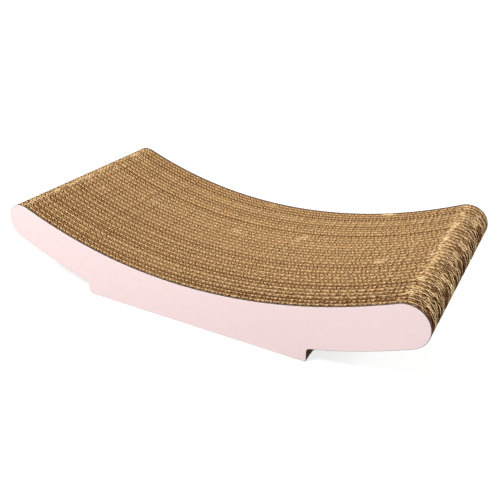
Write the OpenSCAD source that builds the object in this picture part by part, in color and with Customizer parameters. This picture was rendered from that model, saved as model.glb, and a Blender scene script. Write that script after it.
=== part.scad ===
// Cradle-shaped cat scratcher: strips of double-wall corrugated board, glued face to face between two
// side panels with a printed facing. X runs along the length, Y from the front panel to the rear panel
// and Z up. The origin is on the floor under the middle of the scratcher.

/* [Cradle outline] */
// Length from end to end
length = 440; // [370:1:510]
// Radius of the hollow arc that the cat lies on
seat_r = 495; // [460:1:585]
// Height of the lowest point of that arc above the floor
seat_low = 40.9; // [38.5:0.1:47.5]
// Radius of the two round ends
end_r = 19.7; // [17.5:0.1:22]

/* [Foot] */
// Length of the foot along the floor
foot_len = 242; // [202:1:265]
// Height at which the underside meets the foot
foot_h = 13.8; // [12:0.1:16.5]
// Radius of the foot's bottom corners
foot_corner_r = 3.2; // [2:0.1:4.5]
// Radius in the corner between the foot and the underside
foot_fillet_r = 3.7; // [2:0.1:4.5]

/* [Corrugated board] */
// Number of strips across the width
strips = 34; // [20:1:50]
// Thickness of a liner sheet
liner_t = 0.2; // [0.15:0.05:0.4]
// Height of the coarse flutes
coarse_flute_h = 3.2; // [2.8:0.1:4]
// Height of the fine flutes
fine_flute_h = 2.25; // [2:0.05:2.8]
// How far the fluted plies stop short of the cut edge of the liners
flute_setback = 0.8; // [0.3:0.1:1.5]

/* [Side panels] */
// Thickness of a side panel
panel_t = 1.5; // [1:0.1:3]
// Thickness of the printed facing on a panel
facing_t = 0.3; // [0.2:0.05:0.5]
// How far the facing stops short of the panel's edge
facing_margin = 0.4; // [0.2:0.1:1]

/* [Hidden] */
// Segments of a full circle in a mesh of this model
$fn = 256;

// One strip has two fluted plies between three liners
strip_t = 3 * liner_t + coarse_flute_h + fine_flute_h;
bed_w = strips * strip_t;

// How far arcs that blend into each other cross, so that they meet at a clean point
crossing = 0.02;
// How far a fluted ply is pressed into the liners that it is glued to
ply_press = 0.05;
// Steps of the small arcs at the foot
foot_arc_steps = 5;

// Centres of the round ends, which the seat arc blends into from above
end_x = length / 2 - end_r;
seat_z = seat_low + seat_r;
end_z = seat_z - sqrt(pow(seat_r + end_r - crossing, 2) - pow(end_x, 2));

// The underside arc blends into both round ends from below and passes through the top of the foot's
// flank, which gives a quadratic for the height of its centre
foot_x = foot_len / 2;
touch_r = end_r - crossing;
rise = end_z - foot_h;
excess = pow(foot_x, 2) - pow(end_x, 2) + pow(foot_h, 2) - pow(end_z, 2) + pow(touch_r, 2);
quad_a = pow(rise / touch_r, 2) - 1;
quad_b = excess * rise / pow(touch_r, 2) + 2 * foot_h;
quad_c = pow(excess / (2 * touch_r), 2) - pow(foot_x, 2) - pow(foot_h, 2);
under_z = (sqrt(pow(quad_b, 2) - 4 * quad_a * quad_c) - quad_b) / (2 * quad_a);
under_r = norm([foot_x, under_z - foot_h]);

// Centre of the fillet between the foot's flank and the underside
fillet_x = foot_x + foot_fillet_r;
fillet_z = under_z - sqrt(pow(under_r + foot_fillet_r - crossing, 2) - pow(fillet_x, 2));

function two_digits(number) = str(number < 10 ? "0" : "", number);
function strip_name(number) = str("strip_", two_digits(number));

// Point on the line from one point to another, at a share of the way
function along(from, to, share) = from + (to - from) * share;
// Points of an arc about a centre, from one angle to another
function arc(centre, radius, start, end) = [
  for (step = [0 : foot_arc_steps])
    let (angle = start + (end - start) * step / foot_arc_steps)
      centre + radius * [cos(angle), sin(angle)]
];
// Closed outline from the points of its right half, listed from one end on the middle line to the other
function symmetric(points) = concat(
  points,
  [for (step = [1 : len(points)]) let (point = points[len(points) - step]) [-point[0], point[1]]]
);

// The band between the seat arc and the underside arc. Its sides run through the centres of the round
// ends and on past both arcs.
module band(inset) {
  end_centre = [end_x, end_z];
  above = along(end_centre, [0, seat_z], 2 * end_r / seat_r);
  below = along(end_centre, [0, under_z], -2 * end_r / under_r);
  difference() {
    intersection() {
      translate([0, under_z]) circle(under_r - inset);
      polygon(symmetric([above, end_centre, below, [below[0], foot_corner_r]]));
    }
    translate([0, seat_z]) circle(seat_r + inset);
  }
}

// The flat foot, with round bottom corners and with fillets that run out into the underside
module foot(inset) {
  corner = [foot_x - foot_corner_r, foot_corner_r];
  fillet = [fillet_x, fillet_z];
  up = [0, under_z] - fillet;
  polygon(symmetric(concat(
    arc(corner, foot_corner_r - inset, -90, 0),
    arc(fillet, foot_fillet_r + inset, 180, atan2(up[1], up[0])),
    [along(fillet, [0, under_z], 2 * foot_fillet_r / under_r)]
  )));
}

// The whole cradle outline, drawn in its edge or at an even distance inside it
module outline(inset = 0) {
  union() {
    band(inset);
    for (side = [-1, 1]) {
      translate([side * end_x, end_z]) circle(end_r - inset);
    }
    foot(inset);
  }
}

// A sheet of the cradle outline, standing upright with its front face at y
module sheet(y, thickness, inset = 0) {
  translate([0, y + thickness, 0])
    rotate([90, 0, 0])
      linear_extrude(thickness) outline(inset);
}

// A fluted ply between two liners, set back from their cut edge
module fluted_ply(y, height) {
  sheet(y - ply_press, height + 2 * ply_press, flute_setback);
}

module strip(number) {
  y_front = (number - 1) * strip_t - bed_w / 2;
  y_middle = y_front + liner_t + coarse_flute_h;
  y_rear = y_middle + liner_t + fine_flute_h;
  color(number % 2 == 0 ? "#c99d68" : "#bd8f59") {
    sheet(y_front, liner_t);
    fluted_ply(y_front + liner_t, coarse_flute_h);
    sheet(y_middle, liner_t);
    fluted_ply(y_middle + liner_t, fine_flute_h);
    sheet(y_rear, liner_t);
  }
}

module front_panel() {
  color("#6f6259") sheet(-bed_w / 2 - panel_t, panel_t);
}

module rear_panel() {
  color("#6f6259") sheet(bed_w / 2, panel_t);
}

module front_facing() {
  color("#f5e1df") sheet(-bed_w / 2 - panel_t - facing_t, facing_t, facing_margin);
}

module rear_facing() {
  color("#f5e1df") sheet(bed_w / 2 + panel_t, facing_t, facing_margin);
}

front_facing();
front_panel();
for (number = [1 : strips]) {
  strip(number);
}
rear_panel();
rear_facing();
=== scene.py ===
import random
from math import asin, atan2, cos, pi, radians, sin, sqrt

import bmesh
import bpy
from mathutils import Matrix, Vector, noise


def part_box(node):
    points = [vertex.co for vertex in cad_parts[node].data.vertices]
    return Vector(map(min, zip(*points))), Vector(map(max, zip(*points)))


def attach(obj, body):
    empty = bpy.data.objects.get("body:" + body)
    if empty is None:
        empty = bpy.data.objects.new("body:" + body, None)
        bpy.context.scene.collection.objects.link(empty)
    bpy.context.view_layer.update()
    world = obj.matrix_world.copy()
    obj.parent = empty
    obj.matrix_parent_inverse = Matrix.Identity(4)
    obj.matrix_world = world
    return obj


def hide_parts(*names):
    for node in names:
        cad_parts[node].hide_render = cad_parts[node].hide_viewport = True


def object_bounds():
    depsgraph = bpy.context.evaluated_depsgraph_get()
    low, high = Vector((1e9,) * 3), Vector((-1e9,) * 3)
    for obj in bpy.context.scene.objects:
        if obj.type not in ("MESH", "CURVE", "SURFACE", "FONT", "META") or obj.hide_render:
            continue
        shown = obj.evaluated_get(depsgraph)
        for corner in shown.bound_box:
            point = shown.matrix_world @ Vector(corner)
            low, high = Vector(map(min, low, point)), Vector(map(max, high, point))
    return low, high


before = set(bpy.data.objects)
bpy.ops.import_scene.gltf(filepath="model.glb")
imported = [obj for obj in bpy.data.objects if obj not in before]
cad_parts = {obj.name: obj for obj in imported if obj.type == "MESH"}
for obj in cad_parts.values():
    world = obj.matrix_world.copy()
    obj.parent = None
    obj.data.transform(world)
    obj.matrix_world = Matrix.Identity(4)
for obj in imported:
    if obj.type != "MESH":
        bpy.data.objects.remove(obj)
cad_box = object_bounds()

# Camera. It stands in front of the right half of the scratcher, a little above it, and looks left and
# down along the bed. Lens and place put the cradle's corners where the photograph has them.
camera_place = (0.29162, -0.49227, 0.32534)
camera_lens = 44.486
camera_pan = Matrix.Rotation(radians(29.95), 4, "Z")
camera_tilt = Matrix.Rotation(radians(62.718), 4, "X")
camera_roll = Matrix.Rotation(radians(-1.044), 4, "Z")

camera = bpy.data.objects.new("camera", bpy.data.cameras.new("camera"))
camera.data.sensor_width = 36
camera.data.lens = camera_lens
camera.rotation_euler = (camera_pan @ camera_tilt @ camera_roll).to_euler()
camera.location = camera_place
bpy.context.scene.collection.objects.link(camera)
bpy.context.scene.camera = camera
bpy.context.scene.view_settings.view_transform = "Standard"


# Studio. A sheet of white background paper lies on the floor, and the walls round it are white too.
# What the eye sees of either is white, and on the floor also the scratcher's soft shadow.
wall_light = 0.18
paper_white = 0.3
shown_paper = 0.25
shown_glow = 0.8
floor_size = 1


def finished(bm, name, materials):
    """A mesh object from a bmesh, with its materials in slot order."""
    mesh = bpy.data.meshes.new(name)
    bm.to_mesh(mesh)
    bm.free()
    for material in materials:
        mesh.materials.append(material)
    piece = bpy.data.objects.new(name, mesh)
    bpy.context.scene.collection.objects.link(piece)
    return piece


def plain_material(name, roughness, gloss):
    """A new material, with its node tree and its shader."""
    material = bpy.data.materials.new(name)
    material.use_nodes = True
    shader = material.node_tree.nodes["Principled BSDF"]
    shader.inputs["Roughness"].default_value = roughness
    shader.inputs["Specular IOR Level"].default_value = gloss
    return material, material.node_tree, shader


def either(tree, one, other):
    """Whether a ray is of one kind or of the other."""
    larger = tree.nodes.new("ShaderNodeMath")
    larger.operation = "MAXIMUM"
    tree.links.new(one, larger.inputs[0])
    tree.links.new(other, larger.inputs[1])
    return larger.outputs[0]


def for_the_eye(tree, unseen, shown):
    """A value that is one thing for light on its way and another for what the camera sees."""
    ray = tree.nodes.new("ShaderNodeLightPath").outputs
    seen = either(tree, ray["Is Camera Ray"], ray["Is Glossy Ray"])
    seen_through = either(tree, seen, ray["Is Transmission Ray"])
    chosen = tree.nodes.new("ShaderNodeMapRange")
    chosen.inputs["To Min"].default_value = unseen
    chosen.inputs["To Max"].default_value = shown
    tree.links.new(seen_through, chosen.inputs["Value"])
    return chosen.outputs["Result"]


studio = bpy.data.worlds.new("studio")
studio.use_nodes = True
bpy.context.scene.world = studio
walls = studio.node_tree.nodes["Background"]
walls.inputs["Color"].default_value = (1, 1, 1, 1)
studio.node_tree.links.new(for_the_eye(studio.node_tree, wall_light, 1), walls.inputs["Strength"])

floor_paper, floor_tree, floor_shader = plain_material("floor_paper", roughness=0.9, gloss=0)
floor_shader.inputs["Emission Color"].default_value = (1, 1, 1, 1)
floor_tree.links.new(for_the_eye(floor_tree, paper_white, shown_paper), floor_shader.inputs["Base Color"])
floor_tree.links.new(for_the_eye(floor_tree, 0, shown_glow), floor_shader.inputs["Emission Strength"])
floor_bm = bmesh.new()
bmesh.ops.create_grid(floor_bm, x_segments=1, y_segments=1, size=floor_size)
finished(floor_bm, "floor", [floor_paper])


# Lamps. A small soft box stands high at the front left. It shines on the liners inside the flutes and
# leaves the flutes' right flanks in shade. A weaker one at the rear right lights the right end, and a
# low one behind lights the rear panel.
bed_middle = (0, 0, 0.05)


def soft_box(name, place, size, watts):
    """A square soft box at a place, turned to the middle of the bed."""
    box = bpy.data.objects.new(name, bpy.data.lights.new(name, "AREA"))
    box.data.shape = "SQUARE"
    box.data.size = size
    box.data.energy = watts
    box.location = place
    box.rotation_euler = (Vector(bed_middle) - Vector(place)).to_track_quat("-Z", "Y").to_euler()
    bpy.context.scene.collection.objects.link(box)


soft_box("left_box", place=(-0.5, -0.9, 1.3), size=0.4, watts=40)
soft_box("right_box", place=(1.4, 0.7, 0.9), size=0.5, watts=36)
soft_box("rear_box", place=(-0.4, 1.9, 0.6), size=0.5, watts=16)


# Corrugated strips. Thirty-four lengths of double-wall kraft board, die-cut to the cradle's outline
# with the flutes upright and glued face to face. Each is three liners with a coarse and a fine flute.
length = cad_box[1][0] - cad_box[0][0]
seat_radius = 0.495
seat_low = 0.0409
end_radius = 0.0197
foot_length = 0.242
foot_height = 0.0138
corner_radius = 0.0032
fillet_radius = 0.0037
seat_steps = 27
end_steps = 32
underside_steps = 12
foot_arc_steps = 6
same_point = 1e-6
same_plane = 1e-7


def drawn_arc(bm, pencil, centre_x, centre_z, angle, steps):
    """Moves the pencil round a centre, as compasses do, and gives the point where it stops."""
    drawn = bmesh.ops.spin(
        bm, geom=[pencil], cent=(centre_x, 0, centre_z), axis=(0, 1, 0), angle=angle, steps=steps
    )
    return next(item for item in drawn["geom_last"] if isinstance(item, bmesh.types.BMVert))


def drawn_line(bm, pencil, x, z):
    """Moves the pencil straight to a point."""
    drawn = bmesh.ops.extrude_vert_indiv(bm, verts=[pencil])
    drawn["verts"][0].co = (x, 0, z)
    return drawn["verts"][0]


def underside_arc(end_x, end_z):
    """Height of the centre and radius of the arc that runs from the round ends to the top of the foot."""
    foot_x = foot_length / 2
    rise = end_z - foot_height
    excess = foot_x**2 - end_x**2 + foot_height**2 - end_z**2 + end_radius**2
    square = (rise / end_radius) ** 2 - 1
    double = excess * rise / end_radius**2 + 2 * foot_height
    rest = (excess / (2 * end_radius)) ** 2 - foot_x**2 - foot_height**2
    centre_z = (sqrt(double**2 - 4 * square * rest) - double) / (2 * square)
    return centre_z, sqrt(foot_x**2 + (centre_z - foot_height) ** 2)


def cradle_face(bm, margin):
    """The cradle's outline at a margin inside the die's knife, as one flat face in the XZ plane."""
    seat_centre = seat_low + seat_radius
    end_x = length / 2 - end_radius
    seat_angle = asin(end_x / (seat_radius + end_radius))
    end_z = seat_centre - (seat_radius + end_radius) * cos(seat_angle)
    under_centre, under_radius = underside_arc(end_x, end_z)
    under_angle = atan2(end_x, under_centre - end_z)
    fillet_x = foot_length / 2 + fillet_radius
    fillet_angle = asin(fillet_x / (under_radius + fillet_radius))
    fillet_z = under_centre - (under_radius + fillet_radius) * cos(fillet_angle)
    corner_x = foot_length / 2 - corner_radius
    pencil = bm.verts.new((0, 0, seat_low - margin))
    pencil = drawn_arc(bm, pencil, 0, seat_centre, -seat_angle, seat_steps)
    pencil = drawn_arc(bm, pencil, end_x, end_z, pi + seat_angle - under_angle, end_steps)
    pencil = drawn_arc(bm, pencil, 0, under_centre, under_angle - fillet_angle, underside_steps)
    pencil = drawn_arc(bm, pencil, fillet_x, fillet_z, fillet_angle - pi / 2, foot_arc_steps)
    pencil = drawn_line(bm, pencil, foot_length / 2 - margin, corner_radius)
    pencil = drawn_arc(bm, pencil, corner_x, corner_radius, pi / 2, foot_arc_steps)
    drawn_line(bm, pencil, 0, margin)
    bmesh.ops.mirror(bm, geom=bm.verts[:] + bm.edges[:], axis="X", merge_dist=same_point)
    bmesh.ops.remove_doubles(bm, verts=bm.verts, dist=same_point)
    bmesh.ops.edgeloop_fill(bm, edges=bm.edges)
    bmesh.ops.recalc_face_normals(bm, faces=bm.faces)


def cut_across(bm, width):
    """Cuts a sheet into columns of a width along its length, so that it can be waved or worn."""
    cut_x = -length / 2 + width / 2
    while cut_x < length / 2:
        whole = bm.verts[:] + bm.edges[:] + bm.faces[:]
        bmesh.ops.bisect_plane(
            bm, geom=whole, dist=same_plane, plane_co=(cut_x, 0, 0), plane_no=(1, 0, 0)
        )
        cut_x += width


def on_cut_edge(face):
    """Whether a face of a sheet lies on its cut edge, and not on its front or back."""
    return abs(face.normal.y) < 0.5


def outward_rims(bm):
    """For each point on the cut edge, the direction out of the board. Points inside have none."""
    rims = []
    for vert in bm.verts:
        out = Vector()
        for face in vert.link_faces:
            if on_cut_edge(face):
                out += face.normal
        rims.append(out.normalized())
    return rims


# The sheets of a strip, and the flutes' pitches and heights
paper_thickness = 0.0002
coarse_height = 0.0032
fine_height = 0.00225
coarse_pitch = 0.00772
fine_pitch = 0.006545
crest_flatness = 0.16
cuts_per_flute = 8
liner_cuts_per_flute = 6
rim_depth = 0.0022
liner_slot = 0
flute_slot = 1
cut_slot = 2


def die_cut_sheet(cut_width, paper_slot):
    """A flat sheet of paper in the cradle's outline, with a rim inside its edge and cuts across it, and
    the direction out of it for each of its points."""
    bm = bmesh.new()
    cradle_face(bm, 0)
    bmesh.ops.inset_region(
        bm, faces=bm.faces, thickness=rim_depth, use_boundary=True, use_even_offset=True
    )
    drawn = bmesh.ops.extrude_face_region(bm, geom=bm.faces[:])
    back = [item for item in drawn["geom"] if isinstance(item, bmesh.types.BMVert)]
    bmesh.ops.translate(bm, verts=back, vec=(0, paper_thickness, 0))
    bmesh.ops.translate(bm, verts=bm.verts, vec=(0, -paper_thickness / 2, 0))
    bmesh.ops.recalc_face_normals(bm, faces=bm.faces)
    # The first layer holds how much painted shade a point gets down the flutes, the second how torn its
    # edge is.
    bm.verts.layers.float.new("painted_shade")
    bm.verts.layers.float.new("fray")
    for face in bm.faces:
        face.material_index = cut_slot if on_cut_edge(face) else paper_slot
    cut_across(bm, cut_width)
    return bm, outward_rims(bm)


def flute_wave(x, pitch, phase):
    """How far a flute stands between its liners at x, from -1 to 1, with crests that lie on for a while."""
    turn = 2 * pi * (x / pitch + phase)
    return (sin(turn) + crest_flatness * sin(3 * turn)) / (1 - crest_flatness)


def uneven(place, grain, shift=(0, 0, 0)):
    """A soft random value round 0 at a place. The grain is how finely it changes along each axis, and
    the shift leads to another part of the same pattern."""
    return noise.noise(Vector([here * fine + moved for here, fine, moved in zip(place, grain, shift)]))


def share(amount):
    """An amount kept between 0 and 1."""
    return min(1, max(0, amount))


# The two crests, where the seat turns into the round ends, and scuffs here and there in the seat
crest_middle = 0.198
crest_width = 0.009
crest_fray = 0.45
crest_raggedness = 1.5
crest_grain = (160, 400, 60)
scuff_limit = 0.52
scuff_steepness = 5
scuff_grain = (30, 45, 0)
scuff_shift = (5, 0, 2)
scratch_grain = (300, 300, 0)


def frayed(place, seed):
    """How much the cut edge is torn and scratched open, from 0 to 1: most of all on the two crests, and
    here and there in the seat."""
    if place[2] < seat_low:
        return 0
    crest = crest_fray - abs(abs(place[0]) - crest_middle) / crest_width
    crest += crest_raggedness * uneven(place, crest_grain, (0, seed, 0))
    scuff = scuff_steepness * (uneven(place, scuff_grain, scuff_shift) - scuff_limit)
    scuff += uneven(place, scratch_grain, (0, 0, seed))
    return share(max(crest, scuff))


# The round ends, down to the height where the knife ran across the flutes again
hole_start = 0.2
# How much deeper the painted shade reaches down the flutes round the ends.
end_shade_deepening = 1.3
tear_start = 0.208
turn_width = 0.006
end_low = 0.05


def turned(x, start):
    """How far a point has gone round the end, from 0 to 1. There the knife ran more and more along the
    flutes and tore them, and the shade painted down their holes reaches deeper."""
    return share((abs(x) - start) / turn_width)


# The part of the seat that has been scratched most, at its front right
worn_front = -0.055
worn_width = 0.04
worn_length = 0.12
worn_middle = 0.4
# How much deeper the painted shade reaches down the flutes where the seat is most scratched.
worn_shade_deepening = 1.2
worn_fray = 1.6
speck_grain = (500, 500, 0)
# Patches in which that painted shade reaches deeper or less deep.
shade_patch_grain = (260, 260, 0)
shade_patch_shift = (0, 0, 9)
shade_patch_middle = 0.7
shade_patch_play = 1.6


def well_used(x, y):
    """How much a place has been scratched, from 0 to 1: most of all at the front right of the seat. The
    shade painted down its flutes reaches deeper there, and their edges are paler."""
    return share(worn_middle + x / worn_length) * share((worn_front - y) / worn_width)


# The cut edge of each sheet
burr = 0.0001
edge_sag = 0.00015
edge_dip = 0.0002
edge_lean = 0.00015
edge_grain = (200, 300, 60)
end_raggedness = 0.4
tear_grain = (60, 330, 40)
tear_fray = 3
tear_sink = 0.0016
tear_lean = 0.0005
torn_lean = 2


def edge_wear(place, hold, end_fray, drop, seed):
    """How a place on a cut edge is worn: how deep it has sunk into the board, how far it leans over, and
    how torn it is, from 0 to 1. The less hold the flutes give it, the more it has sagged."""
    wear = uneven(place, edge_grain, (0, 0, seed))
    tear = turned(place[0], tear_start) * uneven(place, tear_grain)
    opened = 0
    if place[2] > end_low:
        opened = turned(place[0], hole_start) * (end_fray + end_raggedness * wear)
    torn = share(max(frayed(place, seed), opened, tear_fray * tear))
    sagging = (drop + edge_sag * (1 - share(hold))) * (1 - torn)
    sunk = max(0, sagging + wear * edge_dip - tear * tear_sink)
    lean = wear * edge_lean * (1 + torn_lean * torn) + tear * tear_lean
    return sunk, lean, torn


tight_gap = 0.0003


def stacked(bm, sheet, middle, seed, wave, held, gaps, end_fray, drop):
    """Adds a copy of a sheet to a strip, waved across its thickness and worn along its cut edge. The gaps
    are how wide the flutes stand open before the front and the back of the sheet: the narrower, the sooner
    the shade painted inside darkens. The end fray is how much of the edge is torn where it goes round the
    scratcher's ends, and the drop is how far the whole edge lies inside the die's knife."""
    flat_sheet, rims = sheet
    copy = flat_sheet.copy()
    copy.verts.ensure_lookup_table()
    painted_shade = copy.verts.layers.float["painted_shade"]
    fray = copy.verts.layers.float["fray"]
    for vert, out in zip(copy.verts, rims):
        x, y, z = vert.co
        place = (x, middle, z)
        used = well_used(x, middle)
        inside = rim_depth
        vert.co.y += middle + wave(x)
        if out.length > 0:
            inside, lean, torn = edge_wear(place, held(x), end_fray, drop, seed)
            vert.co -= out * inside
            vert.co.y += lean
            vert.co.y += burr if y > 0 else -burr
            speck = max(0, uneven(place, speck_grain, (0, 0, seed)))
            vert[fray] = min(1, torn + worn_fray * speck * used)
        # Painted shade: the deeper a point lies below the cut edge and the narrower the flute beside it,
        # the darker brown it is painted.
        gap = max(tight_gap, gaps[y > 0](x))
        shade_patch = shade_patch_middle + shade_patch_play * uneven(place, shade_patch_grain, shade_patch_shift)
        shade_depth = inside * (1 + end_shade_deepening * turned(x, hole_start) + worn_shade_deepening * shade_patch * used)
        vert[painted_shade] = shade_depth * coarse_height / gap**2
    piece = bpy.data.meshes.new("copy")
    copy.to_mesh(piece)
    copy.free()
    bm.from_mesh(piece)
    bpy.data.meshes.remove(piece)


def soft_noise(tree, place, scale, detail):
    """Soft random spots, so many to the metre."""
    spots = tree.nodes.new("ShaderNodeTexNoise")
    spots.inputs["Scale"].default_value = scale
    spots.inputs["Detail"].default_value = detail
    tree.links.new(place, spots.inputs["Vector"])
    return spots


def two_tones(tree, spots, dark, light, spread):
    """Colours the spots from a dark to a light tone, over a spread to either side of their middle."""
    tones = tree.nodes.new("ShaderNodeValToRGB")
    tones.color_ramp.elements[0].position = 0.5 - spread
    tones.color_ramp.elements[0].color = dark
    tones.color_ramp.elements[1].position = 0.5 + spread
    tones.color_ramp.elements[1].color = light
    tree.links.new(spots.outputs["Fac"], tones.inputs["Fac"])
    return tones.outputs["Color"]


def shaded(tree, colour, shade):
    """Makes a colour lighter or darker."""
    toned = tree.nodes.new("ShaderNodeHueSaturation")
    tree.links.new(shade, toned.inputs["Value"])
    tree.links.new(colour, toned.inputs["Color"])
    return toned.outputs["Color"]


def covered(tree, colour, cover, amount):
    """Covers a colour with a plain one, by an amount from 0 to 1."""
    blend = tree.nodes.new("ShaderNodeMix")
    blend.data_type = "RGBA"
    tree.links.new(amount, blend.inputs["Factor"])
    tree.links.new(colour, blend.inputs["A"])
    blend.inputs["B"].default_value = cover
    return blend.outputs["Result"]


def embossed(tree, shader, spots, strength, height):
    """Gives a surface a fine relief from the spots."""
    bump = tree.nodes.new("ShaderNodeBump")
    bump.inputs["Strength"].default_value = strength
    bump.inputs["Distance"].default_value = height
    tree.links.new(spots.outputs["Fac"], bump.inputs["Height"])
    tree.links.new(bump.outputs["Normal"], shader.inputs["Normal"])


def strip_shade(tree, place):
    """A shade a little lighter or darker for each strip, by its number from the front."""
    across = tree.nodes.new("ShaderNodeSeparateXYZ")
    tree.links.new(place, across.inputs["Vector"])
    strips = tree.nodes.new("ShaderNodeMath")
    strips.operation = "DIVIDE"
    tree.links.new(across.outputs["Y"], strips.inputs[0])
    strips.inputs[1].default_value = strip_thickness
    whole = tree.nodes.new("ShaderNodeMath")
    whole.operation = "FLOOR"
    tree.links.new(strips.outputs[0], whole.inputs[0])
    lot = tree.nodes.new("ShaderNodeTexWhiteNoise")
    lot.noise_dimensions = "1D"
    tree.links.new(whole.outputs[0], lot.inputs["W"])
    shade = tree.nodes.new("ShaderNodeMapRange")
    shade.inputs["To Min"].default_value = 0.96
    shade.inputs["To Max"].default_value = 1.04
    tree.links.new(lot.outputs["Value"], shade.inputs["Value"])
    return shade.outputs["Result"]


def kraft_paper(name, dark, light, fibre_scale, lit_depth, dark_depth, painted_shade_brown):
    """Matt unbleached paper: brown pulp with darker and lighter fibres, each strip cut from its own sheet.
    Shade is painted into it down the narrow flutes, towards a deep brown, and torn fibres are paler."""
    paper, tree, shader = plain_material(name, roughness=0.85, gloss=0.2)
    place = tree.nodes.new("ShaderNodeTexCoord").outputs["Object"]
    fibres = soft_noise(tree, place, fibre_scale, detail=4)
    pulp = two_tones(tree, fibres, dark, light, spread=0.2)
    pulp = shaded(tree, pulp, strip_shade(tree, place))
    fray = tree.nodes.new("ShaderNodeAttribute")
    fray.attribute_name = "fray"
    pulp = covered(tree, pulp, torn_fibres, fray.outputs["Fac"])
    # Painted shade: the paper turns to a deep brown down the narrow flutes.
    painted_shade = tree.nodes.new("ShaderNodeAttribute")
    painted_shade.attribute_name = "painted_shade"
    painted_shade_amount = tree.nodes.new("ShaderNodeMapRange")
    painted_shade_amount.interpolation_type = "SMOOTHSTEP"
    painted_shade_amount.inputs["From Min"].default_value = lit_depth
    painted_shade_amount.inputs["From Max"].default_value = dark_depth
    tree.links.new(painted_shade.outputs["Fac"], painted_shade_amount.inputs["Value"])
    pulp = covered(tree, pulp, painted_shade_brown, painted_shade_amount.outputs["Result"])
    tree.links.new(pulp, shader.inputs["Base Color"])
    embossed(tree, shader, fibres, strength=0.25, height=0.0001)
    return paper


strip_nodes = sorted(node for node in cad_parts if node.startswith("strip_"))
strip_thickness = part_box(strip_nodes[0])[1][1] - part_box(strip_nodes[0])[0][1]
torn_fibres = (0.93, 0.68, 0.37, 1)
# Each paper's deep brown is the colour of the shade painted down the flutes.
liner_paper = kraft_paper(
    "liner_paper", dark=(0.82, 0.53, 0.235, 1), light=(0.97, 0.69, 0.365, 1), fibre_scale=900,
    lit_depth=0.45, dark_depth=1.25, painted_shade_brown=(0.12, 0.043, 0.009, 1),
)
flute_paper = kraft_paper(
    "flute_paper", dark=(0.55, 0.34, 0.137, 1), light=(0.72, 0.46, 0.205, 1), fibre_scale=900,
    lit_depth=0.45, dark_depth=1.25, painted_shade_brown=(0.10, 0.037, 0.008, 1),
)
# The cut edges are painted a dark brown. This is painted shade for the thin shadowed lines between the
# flutes' lit walls.
shade_painted_cut_edges = kraft_paper(
    "shade_painted_cut_edges", dark=(0.27, 0.155, 0.07, 1), light=(0.40, 0.24, 0.11, 1), fibre_scale=1600,
    lit_depth=0.3, dark_depth=2, painted_shade_brown=(0.18, 0.08, 0.025, 1),
)
liner = die_cut_sheet(coarse_pitch / liner_cuts_per_flute, liner_slot)
coarse_flute = die_cut_sheet(coarse_pitch / cuts_per_flute, flute_slot)
fine_flute = die_cut_sheet(fine_pitch / cuts_per_flute, flute_slot)
coarse_swing = (coarse_height - paper_thickness) / 2
fine_swing = (fine_height - paper_thickness) / 2
# The fine flutes get their painted shade as if they stood open only this share of their width.
fine_shade_gap_share = 0.88
fine_recess = 0.0003
joint_recess = 0.00025
joint_gap = 0.0011
flute_fray = 0.8
liner_fray = 0.05
deepest_drop = 0.00035
phase_play = 0.12
fine_phase_play = 0.35
pitch_play = 0.016
chance = random.Random(34)


def corrugated_strip(node, number):
    """A strip of the bed: liner, coarse flute, liner, fine flute and liner, from front to rear. No two
    strips were cut alike, so each has its own drop, phases and stretch by chance."""
    drop = deepest_drop * chance.random() ** 3
    phase = phase_play * chance.random()
    fine_phase = fine_phase_play * chance.random()
    stretch = 1 + pitch_play * (chance.random() - 0.5)
    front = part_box(node)[0][1] + paper_thickness / 2
    coarse_middle = front + (paper_thickness + coarse_height) / 2
    middle = front + paper_thickness + coarse_height
    fine_middle = middle + (paper_thickness + fine_height) / 2
    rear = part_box(node)[1][1] - paper_thickness / 2

    def flat(x):
        """A liner doesn't wave."""
        return 0

    def glued(x):
        """Room between an outer liner and the strip that it is glued to."""
        return joint_gap

    def upright(x):
        """A flute holds itself up."""
        return 1

    def coarse(x):
        """The coarse flute of this strip."""
        return flute_wave(x + length / 2, coarse_pitch * stretch, phase)

    def fine(x):
        """The fine flute of this strip."""
        return flute_wave(x + length / 2, fine_pitch * stretch, fine_phase)

    def before_coarse(x):
        """Room between the front liner and the coarse flute."""
        return coarse_swing * (1 + coarse(x))

    def behind_coarse(x):
        """Room between the coarse flute and the middle liner."""
        return coarse_swing * (1 - coarse(x))

    def before_fine(x):
        """Room between the middle liner and the fine flute, which lets in less light than its width."""
        return fine_shade_gap_share * fine_swing * (1 + fine(x))

    def behind_fine(x):
        """Room between the fine flute and the rear liner, which lets in less light too."""
        return fine_shade_gap_share * fine_swing * (1 - fine(x))

    bm = bmesh.new()
    stacked(
        bm, liner, front, number, wave=flat, held=lambda x: -coarse(x),
        gaps=(glued, before_coarse), end_fray=liner_fray, drop=drop + joint_recess,
    )
    stacked(
        bm, coarse_flute, coarse_middle, number, wave=lambda x: coarse_swing * coarse(x), held=upright,
        gaps=(before_coarse, behind_coarse), end_fray=flute_fray, drop=drop,
    )
    stacked(
        bm, liner, middle, number, wave=flat, held=lambda x: max(coarse(x), -fine(x)),
        gaps=(behind_coarse, before_fine), end_fray=liner_fray, drop=drop,
    )
    stacked(
        bm, fine_flute, fine_middle, number, wave=lambda x: fine_swing * fine(x), held=upright,
        gaps=(before_fine, behind_fine), end_fray=flute_fray, drop=drop + fine_recess,
    )
    stacked(
        bm, liner, rear, number, wave=flat, held=fine,
        gaps=(behind_fine, glued), end_fray=liner_fray, drop=drop + joint_recess,
    )
    return bm


for number, node in enumerate(strip_nodes, start=1):
    bm = corrugated_strip(node, number)
    strip = finished(bm, f"board_{node}", [liner_paper, flute_paper, shade_painted_cut_edges])
    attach(strip, "root")
    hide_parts(node)


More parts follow.
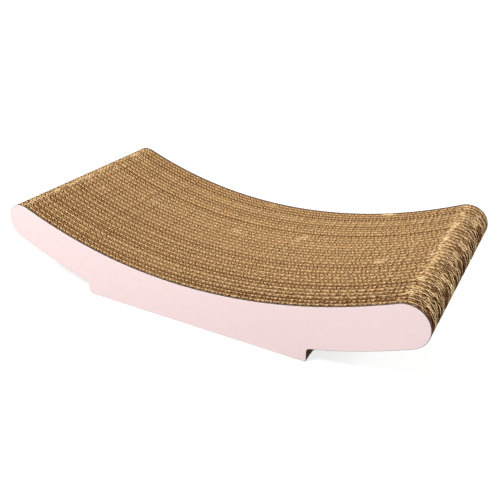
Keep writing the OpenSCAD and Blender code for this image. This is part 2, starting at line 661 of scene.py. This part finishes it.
# Side panels. Two stiff grey-brown boards of recycled pulp, pressed from thin plies and die-cut to the
# same outline as the strips. They are glued on the first and the last strip and guard the bed's sides.
ply_count = 5
ply_shoulder = 0.15
ply_groove = 0.00006
board_wear = 0.00008
board_grain = (350, 1500, 350)
board_cut = 0.002


def raised(bm, faces, step):
    """Draws the flat faces of a board out by a step and gives them back in their new place."""
    drawn = bmesh.ops.extrude_face_region(bm, geom=faces)
    moved = [item for item in drawn["geom"] if isinstance(item, bmesh.types.BMVert)]
    bmesh.ops.translate(bm, verts=moved, vec=(0, step, 0))
    return [item for item in drawn["geom"] if isinstance(item, bmesh.types.BMFace)]


def slotted(bm):
    """Gives the faces of a board their material slots: the first for its two sides, the second for its
    cut edge."""
    bmesh.ops.recalc_face_normals(bm, faces=bm.faces)
    for face in bm.faces:
        face.material_index = 1 if on_cut_edge(face) else 0


def pressed_board(node):
    """A board of thin plies in the cradle's outline, worn along its cut edge and grooved between plies."""
    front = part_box(node)[0][1]
    ply = (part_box(node)[1][1] - front) / ply_count
    bm = bmesh.new()
    cradle_face(bm, 0)
    cut_across(bm, board_cut)
    bmesh.ops.translate(bm, verts=bm.verts, vec=(0, front, 0))
    top = bm.faces[:]
    for step_share in (ply_shoulder, 1 - 2 * ply_shoulder, ply_shoulder) * ply_count:
        top = raised(bm, top, ply * step_share)
    slotted(bm)
    for vert, out in zip(bm.verts, outward_rims(bm)):
        plies = (vert.co.y - front) / ply
        between = abs(plies - round(plies)) < ply_shoulder / 2
        wear = max(0, uneven(vert.co, board_grain))
        vert.co -= out * (ply_groove * between + board_wear * wear)
    return bm


def ply_shade(tree, place):
    """A shade that changes from ply to ply, in long thin streaks."""
    stretched = tree.nodes.new("ShaderNodeMapping")
    stretched.inputs["Scale"].default_value = (260, 5200, 260)
    tree.links.new(place, stretched.inputs["Vector"])
    plies = soft_noise(tree, stretched.outputs["Vector"], scale=1, detail=2)
    shade = tree.nodes.new("ShaderNodeMapRange")
    shade.inputs["From Min"].default_value = 0.3
    shade.inputs["From Max"].default_value = 0.7
    shade.inputs["To Min"].default_value = 0.75
    shade.inputs["To Max"].default_value = 1.2
    tree.links.new(plies.outputs["Fac"], shade.inputs["Value"])
    return plies, shade.outputs["Result"]


def pulp_board(name, dark, light, fleck):
    """Dull recycled pulp: plies of slightly different greys, mottled, with flecks."""
    board, tree, shader = plain_material(name, roughness=0.9, gloss=0.15)
    place = tree.nodes.new("ShaderNodeTexCoord").outputs["Object"]
    mottle = soft_noise(tree, place, scale=450, detail=5)
    pulp = two_tones(tree, mottle, dark, light, spread=0.18)
    plies, shade = ply_shade(tree, place)
    pulp = shaded(tree, pulp, shade)
    flecks = tree.nodes.new("ShaderNodeTexVoronoi")
    flecks.inputs["Scale"].default_value = 900
    tree.links.new(place, flecks.inputs["Vector"])
    few = tree.nodes.new("ShaderNodeMapRange")
    few.inputs["From Min"].default_value = 0.22
    few.inputs["From Max"].default_value = 0.12
    few.inputs["To Max"].default_value = 0.6
    tree.links.new(flecks.outputs["Distance"], few.inputs["Value"])
    pulp = covered(tree, pulp, fleck, few.outputs["Result"])
    tree.links.new(pulp, shader.inputs["Base Color"])
    embossed(tree, shader, plies, strength=0.4, height=0.0001)
    return board


board_face = pulp_board(
    "board_face", dark=(0.115, 0.08, 0.06, 1), light=(0.17, 0.125, 0.095, 1), fleck=(0.26, 0.20, 0.15, 1)
)
board_edge = pulp_board(
    "board_edge", dark=(0.05, 0.032, 0.023, 1), light=(0.09, 0.06, 0.043, 1), fleck=(0.18, 0.12, 0.085, 1)
)
for node in ("front_panel", "rear_panel"):
    panel = finished(pressed_board(node), f"board_{node}", [board_face, board_edge])
    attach(panel, "root")
    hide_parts(node)


# Printed facings. Smooth paper printed a pale blush pink all over, laminated on the outside of each side
# panel a hair inside its edge. The cut edge shows the paper's unprinted core and is slightly rounded.
facing_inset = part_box("front_panel")[1][0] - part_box("front_facing")[1][0]
facing_cut = 0.004
facing_round = 0.00009


def laminated_paper(node, outside):
    """A sheet of paper in the cradle's outline, rounded on the side that shows."""
    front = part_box(node)[0][1]
    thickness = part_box(node)[1][1] - front
    bm = bmesh.new()
    cradle_face(bm, facing_inset)
    cut_across(bm, facing_cut)
    bmesh.ops.translate(bm, verts=bm.verts, vec=(0, front, 0))
    raised(bm, bm.faces[:], thickness)
    slotted(bm)
    shown = front if outside < 0 else front + thickness
    corners = [
        edge for edge in bm.edges
        if len({face.material_index for face in edge.link_faces}) == 2
        and abs(edge.verts[0].co.y - shown) < facing_round
    ]
    bmesh.ops.bevel(
        bm, geom=corners, offset=facing_round, offset_type="OFFSET",
        segments=2, profile=0.5, affect="EDGES", material=-1,
    )
    return bm


def printed_paper(name, ink, mottled_ink):
    """Matt printed paper with a barely uneven print and a fine tooth."""
    paper, tree, shader = plain_material(name, roughness=0.5, gloss=0.5)
    place = tree.nodes.new("ShaderNodeTexCoord").outputs["Object"]
    mottle = soft_noise(tree, place, scale=120, detail=6)
    mottle.inputs["Roughness"].default_value = 0.7
    tree.links.new(two_tones(tree, mottle, mottled_ink, ink, spread=0.2), shader.inputs["Base Color"])
    tooth = soft_noise(tree, place, scale=2600, detail=3)
    embossed(tree, shader, tooth, strength=0.08, height=0.00005)
    return paper


pink_print = printed_paper("pink_print", ink=(0.795, 0.63, 0.625, 1), mottled_ink=(0.77, 0.605, 0.602, 1))
paper_core = printed_paper("paper_core", ink=(0.80, 0.71, 0.68, 1), mottled_ink=(0.70, 0.60, 0.57, 1))
for node, outside in (("front_facing", -1), ("rear_facing", 1)):
    facing = finished(laminated_paper(node, outside), f"paper_{node}", [pink_print, paper_core])
    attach(facing, "root")
    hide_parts(node)
